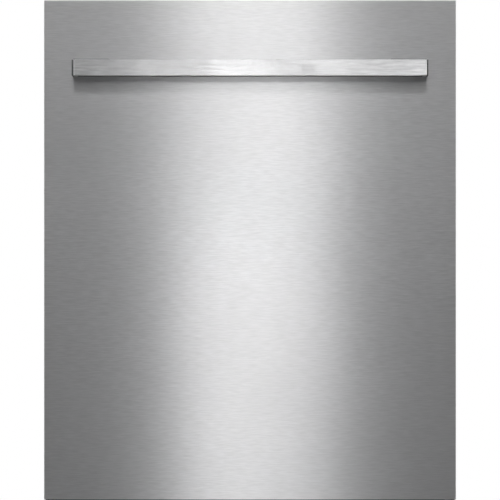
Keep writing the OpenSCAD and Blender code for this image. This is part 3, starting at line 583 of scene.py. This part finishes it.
def build_cup_shelf(side, name):
    """A fold-up shelf of wires, side -1 on the left."""
    low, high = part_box(name)
    z = (low.z + high.z) / 2
    hinge_x, tip_x = sorted((low.x, high.x), key=abs, reverse=True)
    hinge_x, tip_x = hinge_x - side * 2 * MM, tip_x + side * 2 * MM
    work = bmesh.new()
    tube(work, [Vector((hinge_x, y, z)) for y in (low.y + MM, 0, high.y - MM)], 1.95 * MM, 12)
    frame_y = (-125 * MM, 175 * MM)
    outline = [(hinge_x, frame_y[0]), (tip_x, frame_y[0]), (tip_x, frame_y[1]), (hinge_x, frame_y[1])]
    tube(work, rounded_path([Vector((x, y, z)) for x, y in outline], 14 * MM, 6), 1.9 * MM, 10)
    for i in range(1, 10):
        y = frame_y[0] + i * TINE_PITCH
        tube(work, [Vector((hinge_x, y, z)), Vector((tip_x, y, z))], WIRE)
    show(name + "_wires", work, name, "rack_coating", [name])


build_lower_rack()
build_upper_rack()
build_cup_shelf(-1, "cup_shelf_left")
build_cup_shelf(1, "cup_shelf_right")

# ---- springs, seal, felt, feet and screws ----

SEAL_EDGE = 8.5 * MM
TUB_CORNER = 26 * MM


def build_springs():
    """Two coil springs with hooked ends, stretched between the cabinet's anchor and the sliding link."""
    low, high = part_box("balance_springs")
    front, anchor = low.y + 1.2 * MM, high.y
    z = (low.z + high.z) / 2
    wire, pitch = 1.05 * MM, 2.6 * MM
    coil_start, coil_end, reach = front + 7 * MM, anchor - 47 * MM, 4.2 * MM
    turns = int((coil_end - coil_start) / pitch)
    per_turn = 12
    for side, name in ((-1, "balance_spring_left"), (1, "balance_spring_right")):
        x = side * 289.8 * MM
        path = [Vector((x + side * 2.7 * MM, front, z)), Vector((x, front + 2 * MM, z))]
        for i in range(turns * per_turn + 1):
            turn = 2 * math.pi * i / per_turn
            path.append(Vector((x + reach * math.sin(turn), coil_start + pitch * i / per_turn,
                                z + reach * math.cos(turn))))
        path += [Vector((x, coil_end + 3 * MM, z)), Vector((x, anchor - 8 * MM, z)), Vector((x, anchor, z))]
        work = bmesh.new()
        tube(work, path, wire, 6)
        spring = show(name, work, None, "spring_steel", ["balance_springs"])
        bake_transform(spring)


def arch_path(grow, y, steps=8):
    """The tub mouth's arch, grown outwards, from the lower left round to the lower right."""
    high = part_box("door_gasket")[1]
    half, top = high.x - SEAL_EDGE, high.z - SEAL_EDGE
    radius = TUB_CORNER + grow
    x, z = half + grow, top + grow
    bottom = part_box("tub_floor")[1].z + 2 * MM
    points = [Vector((-x, y, bottom + (z - radius - bottom) * k / steps)) for k in range(steps)]
    for sign, start in ((-1, math.pi), (1, math.pi / 2)):
        for k in range(steps + 1):
            turn = start - math.pi / 2 * k / steps
            points.append(Vector((sign * (x - radius) + radius * math.cos(turn), y,
                                  z - radius + radius * math.sin(turn))))
    points += [Vector((x, y, z - radius - (z - radius - bottom) * k / steps)) for k in range(1, steps + 1)]
    return points


def build_gasket():
    """The door seal: a ribbed base on the flange with a round lip towards the door."""
    low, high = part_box("door_gasket")
    base_y, lip_y = high.y, low.y
    # Outline of the rubber: (growth from the mouth, depth in front of the flange)
    profile = [(0.6, 0.0), (0.6, 1.2), (1.4, 1.6), (2.0, 2.6), (3.2, 3.4), (4.6, 3.5), (5.8, 2.9), (6.2, 1.9),
               (7.2, 1.4), (8.3, 1.2), (8.3, 0.0)]
    depth = (base_y - lip_y) / (3.6 * MM)
    work = bmesh.new()
    rows = []
    for grow, forward in profile:
        path = arch_path(grow * MM, base_y - forward * MM * depth)
        rows.append([work.verts.new(p) for p in path])
    skin(work, rows + rows[:1])
    for end in (0, -1):
        work.faces.new([row[end] for row in rows])
    # The lip along the floor's front edge
    floor_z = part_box("tub_floor")[1].z
    x = high.x - SEAL_EDGE
    rounded_block(work, Vector((-x, base_y - 1.8 * MM, low.z)), Vector((x, base_y, floor_z - 0.5 * MM)),
                  0.6 * MM)
    tube(work, [Vector((s * (x - 2 * MM), base_y - 1.2 * MM, low.z + 4 * MM)) for s in (-1, 0, 1)], 0.9 * MM)
    show("door_gasket_rubber", work, "cabinet", "seal_rubber", ["door_gasket"])


FELT_SAG = 0.35 * MM


def build_felt_wrap():
    """The felt round the tub, with the slack unevenness of a laid mat."""
    low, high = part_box("insulation_mat")
    gap, thick = 2.2 * MM, 3.6 * MM
    wrap_y0, wrap_y1 = low.y + MM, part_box("tub_back")[0].y - 1.5 * MM
    columns = 40
    work = bmesh.new()
    layers = []
    for grow, share in ((gap, 0.4), (gap + thick, 1)):
        rows = []
        for j in range(columns + 1):
            y = wrap_y0 + (wrap_y1 - wrap_y0) * j / columns
            row = []
            for p in arch_path(grow, y, 14):
                p.z = max(p.z, low.z + 0.5 * MM)
                lift = noise.noise(p * 38) * FELT_SAG * share
                outward = Vector((p.x, 0, 0)).normalized() if p.z < high.z - 40 * MM else Vector((0, 0, 1))
                row.append(work.verts.new(p + outward * (lift - FELT_SAG)))
            rows.append(row)
        skin(work, rows)
        layers.append(rows)
    close_rims(work, *layers)
    show("felt_wrap", work, "cabinet", "felt", ["insulation_mat"])


def build_felt_back():
    """The sheet of felt behind the tub, tucked in along its sides."""
    low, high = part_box("insulation_mat")
    half, top = 254 * MM, 790 * MM
    across, up = 30, 36
    work = bmesh.new()
    sheets = []
    for y, side in ((high.y - 5.3 * MM, -1), (high.y - 0.5 * MM, 1)):
        sheet = []
        for i in range(across + 1):
            x = -half + 2 * half * i / across
            column = []
            for j in range(up + 1):
                z = low.z + 2 * MM + (top - low.z) * j / up
                tuck = 1.6 * MM if min(i, across - i, j, up - j) == 0 else 0
                lift = noise.noise(Vector((x, 0, z)) * 30) * FELT_SAG
                column.append(work.verts.new((x, y + side * (lift - tuck), z)))
            sheet.append(column)
        skin(work, sheet)
        sheets.append(sheet)
    close_rims(work, *sheets)
    show("felt_back", work, "cabinet", "felt")


def build_foot(node):
    """A levelling foot: a plastic pad, a hexagon collar and a threaded stem."""
    low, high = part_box(node)
    x, y = (low.x + high.x) / 2, (low.y + high.y) / 2
    work = bmesh.new()
    pad = [(18.5, 0), (20.4, 0.8), (21, 2), (20.6, 3.8), (19, 4.8), (13, 5)]
    turned(work, [(r * MM, z * MM) for r, z in pad], (x, y, 0), sides=48)
    show(node + "_pad", work, node, "base_plastic")
    work = bmesh.new()
    turned(work, [(r * MM, z * MM) for r, z in ((13.6, 4.6), (14.9, 5.6), (14.9, 12.8), (13.6, 14))],
           (x, y, 0), sides=6)
    thread(work, (x, y, 10 * MM), high.z - 11 * MM, 7.9 * MM, 1.75 * MM)
    turned(work, [(6.9 * MM, -1.2 * MM), (6.9 * MM, 0), (5.6 * MM, 0.9 * MM)], (x, y, high.z - MM), sides=20)
    show(node + "_bolt", work, node, "bolt_steel", [node], 35)


def screw_head(work, at, towards, radius=3.6 * MM):
    """A pan-head screw with a hexagon socket, facing along towards."""
    out = Vector(towards).normalized()
    across = out.orthogonal().normalized()
    other = out.cross(across)
    sides = 18
    profile = [(1.0, 0.0), (1.0, 0.25), (0.86, 0.42), (0.55, 0.5), (0.5, 0.5), (0.46, 0.15)]
    rings = []
    for share, height in profile:
        ring = []
        for k in range(sides):
            turn = 2 * math.pi * k / sides
            near = 0.93 if share <= 0.5 and k % 3 else 1.0
            spoke = (across * math.cos(turn) + other * math.sin(turn)) * radius * share * near
            ring.append(work.verts.new(Vector(at) + spoke + out * radius * height))
        rings.append(ring)
    close_solid(work, rings)


def build_screws():
    """Screws of the cabinet's sheets and of the door liner."""
    work = bmesh.new()
    side_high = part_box("side_panels")[1]
    rear_low, rear_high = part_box("rear_panel")
    flat_y = rear_high.y - 1.5 * MM
    for x in (rear_low.x + 9 * MM, 0, rear_high.x - 9 * MM):
        for z in (rear_low.z + 9 * MM, rear_high.z - 9 * MM):
            screw_head(work, (x, flat_y, z), (0, 1, 0), 3 * MM)
    for x in (rear_low.x + 9 * MM, rear_high.x - 9 * MM):
        for z in (0.30, 0.46, 0.62):
            screw_head(work, (x, flat_y, z), (0, 1, 0), 3 * MM)
    for side in (-1, 1):
        for z in (0.24, 0.42, 0.58, 0.78):
            screw_head(work, (side * side_high.x, side_high.y - 16 * MM, z), (side, 0, 0), 3 * MM)
            screw_head(work, (side * side_high.x, -128 * MM, z), (side, 0, 0), 3 * MM)
    show("cabinet_screws", work, "cabinet", "bolt_steel", smooth_deg=40)
    work = bmesh.new()
    liner_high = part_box("inner_door")[1]
    face_y = liner_high.y - 1.5 * MM
    for side in (-1, 1):
        for z in (0.22, 0.38, 0.54, 0.70):
            screw_head(work, (side * (liner_high.x - 7 * MM), face_y, z), (0, 1, 0), 3.2 * MM)
    show("liner_screws", work, "door", "bolt_steel", smooth_deg=40)


def build_connections():
    """The water inlet's thread and the ribs of the drain spigot, at the back."""
    low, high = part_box("inlet_valve")
    x, z = (low.x + high.x) / 2, (low.z + high.z) / 2
    work = bmesh.new()
    rounded_block(work, low, Vector((high.x, 286 * MM, high.z)), 2.5 * MM, 4)
    collar = ((17, 285), (17, 288), (15.5, 289), (11, 289))
    turned(work, [(r * MM, y * MM) for r, y in collar], (x, 0, z), "Y")
    show("inlet_valve_form", work, "cabinet", SLOT["inlet_valve"], ["inlet_valve"])
    work = bmesh.new()
    thread(work, (x, 288.5 * MM, z), high.y - 288.8 * MM, 13.2 * MM, 1.8 * MM, "Y", 32)
    show("inlet_thread", work, "cabinet", SLOT["inlet_valve"], smooth_deg=35)
    low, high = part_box("drain_outlet")
    x, z = (low.x + high.x) / 2, (low.z + high.z) / 2
    work = bmesh.new()
    rounded_block(work, low, Vector((high.x, 283 * MM, high.z)), 2.5 * MM, 4)
    barbs = [(10, 282), (10, 284)]
    for start in (284.5, 290.5, 296.5):
        barbs += [(8.9, start), (9.8, start + 0.4), (10, start + 1.2), (8.9, start + 5.4)]
    barbs += [(8.4, 303), (7.6, 303.6), (6.8, 303.6), (6.8, 300)]
    turned(work, [(r * MM, y * MM) for r, y in barbs], (x, 0, z), "Y")
    show("drain_outlet_form", work, "cabinet", SLOT["drain_outlet"], ["drain_outlet"], 35)


build_springs()
build_gasket()
build_felt_wrap()
build_felt_back()
for foot in ("front_foot_left", "front_foot_right", "rear_foot"):
    build_foot(foot)
build_screws()
build_connections()

# ---- stage, lights and camera ----


def build_floor():
    """A pale floor that fades into the white background away from the machine."""
    work = bmesh.new()
    bmesh.ops.create_circle(work, cap_ends=True, segments=96, radius=4)
    mesh = bpy.data.meshes.new("floor")
    work.to_mesh(mesh)
    work.free()
    made = bpy.data.materials.new("floor_paint")
    made.use_nodes = True
    tree = made.node_tree
    surface, output = tree.nodes["Principled BSDF"], tree.nodes["Material Output"]
    surface.inputs["Base Color"].default_value = (0.86, 0.86, 0.86, 1)
    surface.inputs["Roughness"].default_value = 0.7
    glow = add(tree, "Emission")
    place, distance = add(tree, "TexCoord"), add(tree, "VectorMath", operation="LENGTH")
    tree.links.new(place.outputs["Object"], distance.inputs[0])
    fade = remap(tree, distance.outputs["Value"], 0, 1, 0.55, 1.15)
    seen, mix = add(tree, "MixShader"), add(tree, "MixShader")
    tree.links.new(fade, seen.inputs[0])
    tree.links.new(surface.outputs[0], seen.inputs[1])
    tree.links.new(glow.outputs[0], seen.inputs[2])
    path, dull = add(tree, "LightPath"), add(tree, "BsdfDiffuse")
    dull.inputs["Color"].default_value = (0.20, 0.20, 0.20, 1)
    tree.links.new(path.outputs["Is Camera Ray"], mix.inputs[0])
    tree.links.new(dull.outputs[0], mix.inputs[1])
    tree.links.new(seen.outputs[0], mix.inputs[2])
    tree.links.new(mix.outputs[0], output.inputs["Surface"])
    mesh.materials.append(made)
    floor = bpy.data.objects.new("floor", mesh)
    bpy.context.scene.collection.objects.link(floor)


def build_world():
    """White behind the object, a dim soft room in its reflections."""
    world = bpy.data.worlds.new("studio")
    bpy.context.scene.world = world
    world.use_nodes = True
    tree = world.node_tree
    backdrop, output = tree.nodes["Background"], tree.nodes["World Output"]
    backdrop.inputs["Color"].default_value = (1, 1, 1, 1)
    room = add(tree, "Background")
    room.inputs["Color"].default_value = (0.036, 0.036, 0.0366, 1)
    path, mix = add(tree, "LightPath"), add(tree, "MixShader")
    tree.links.new(path.outputs["Is Camera Ray"], mix.inputs[0])
    tree.links.new(room.outputs[0], mix.inputs[1])
    tree.links.new(backdrop.outputs[0], mix.inputs[2])
    tree.links.new(mix.outputs[0], output.inputs["Surface"])


def softbox(name, place, aim, width, height, watts):
    """A rectangular area light that the camera doesn't see."""
    light = bpy.data.lights.new(name, "AREA")
    light.shape = "RECTANGLE"
    light.size, light.size_y, light.energy = width, height, watts
    lamp = bpy.data.objects.new(name, light)
    bpy.context.scene.collection.objects.link(lamp)
    lamp.location = place
    lamp.rotation_euler = (Vector(aim) - Vector(place)).to_track_quat("-Z", "Y").to_euler()
    lamp.visible_camera = False
    return lamp


# The lamps in front stand on a plane 1.6 m from the panel, and the bright band is a little off its middle
WALL, BAND_X = 1.6, 0.0075
LAMP_HEIGHT, WIDE_LAMP = 0.2, 3.0
# Watts for strength 1: of a narrow lamp, per metre of width, and of every other lamp in front
NARROW_WATTS, LAMP_WATTS = 20.0, 6.0
# Height, width and strength of the narrow lamps
COLUMN = ((0.10, 0.265, 0.312), (1.00, 0.310, 0.243))
# Height and strength of the wide lamps
STEPS = ((0.10, 0.072), (1.00, 0.455), (1.30, 0.384), (1.60, 1.360))
# Strength of the wide lamp for the bar alone, then place, turn and strength of its upright lamps
BAR_WIDE = 0.284
BAR_SPOTS = ((-0.10, 1.0, 0.272), (0.10, 1.0, 0.272), (0.50, 0.5, 0.593))


def chosen(lamp, purpose, state, *pieces):
    """A collection that names the pieces a lamp's light or shadow is limited to, or leaves out."""
    group = bpy.data.collections.new(f"{lamp.name}_{purpose}")
    for piece in pieces:
        group.objects.link(bpy.data.objects[piece + "_form"])
    for entry in group.collection_objects:
        entry.light_linking.link_state = state
    return group


def build_lights():
    """A narrow column in front for the bright band, and wide low steps that fade down the panel."""
    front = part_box("decor_panel")[0].y
    wall = front - WALL
    handle = ("handle_bar", "handle_posts", "handle_end_caps")

    for i, (z, width, strength) in enumerate(COLUMN):
        lamp = softbox(f"column_{i}", (BAND_X, wall, z), (BAND_X, front, z), width, LAMP_HEIGHT,
                       NARROW_WATTS * width * strength)
        lamp.light_linking.receiver_collection = chosen(lamp, "light", "EXCLUDE", "handle_bar")
        # The low lamp would throw the handle's shadow upwards
        if z < 0.5:
            lamp.light_linking.blocker_collection = chosen(lamp, "shadow", "EXCLUDE", *handle)
    for i, (z, strength) in enumerate(STEPS):
        lamp = softbox(f"step_{i}", (0, wall, z), (0, front, z), WIDE_LAMP, LAMP_HEIGHT,
                       LAMP_WATTS * strength)
        lamp.light_linking.receiver_collection = chosen(lamp, "light", "EXCLUDE", "handle_bar")

    lamp = softbox("bar_wide", (0, wall, 1.0), (0, front, 1.0), WIDE_LAMP, LAMP_HEIGHT, LAMP_WATTS * BAR_WIDE)
    lamp.light_linking.receiver_collection = chosen(lamp, "light", "INCLUDE", "handle_bar")
    for i, (x, turn, strength) in enumerate(BAR_SPOTS):
        lamp = softbox(f"bar_{i}", (x, wall, 0.9), (x * turn, front, 0.75), 0.15, 0.4, LAMP_WATTS * strength)
        lamp.light_linking.receiver_collection = chosen(lamp, "light", "INCLUDE", "handle_bar")

    # Round the machine, out of the panel's reflection as the camera sees it
    softbox("overhead", (0, 0.7, 2.5), (0, 0.1, 0.5), 2.4, 1.6, 36)
    softbox("behind", (0.4, 3.0, 1.3), (0, 0, 0.45), 2.2, 1.6, 46)
    for side, name in ((-1, "left"), (1, "right")):
        softbox(name + "_side", (side * 2.8, 0.6, 1.2), (0, 0.1, 0.45), 1.8, 1.6, 34)
        softbox(name + "_wing", (side * 2.2, -3.0, 1.3), (0, 0, 0.45), 1.5, 1.8, 15)


def build_camera():
    """A long lens straight in front of the panel, which fills the picture from top to bottom."""
    low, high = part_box("decor_panel")
    distance, sensor = 6.0, 36
    view_height = (high.z - low.z) * 500 / 499
    camera = bpy.data.cameras.new("camera")
    camera.sensor_width = sensor
    camera.lens = sensor * distance / view_height
    camera.clip_end = 50
    eye = bpy.data.objects.new("camera", camera)
    bpy.context.scene.collection.objects.link(eye)
    eye.location = ((low.x + high.x) / 2, low.y - distance, (low.z + high.z) / 2)
    eye.rotation_euler = (math.pi / 2, 0, 0)
    bpy.context.scene.camera = eye


build_floor()
build_world()
build_lights()
build_camera()
bpy.context.scene.view_settings.view_transform = "Standard"
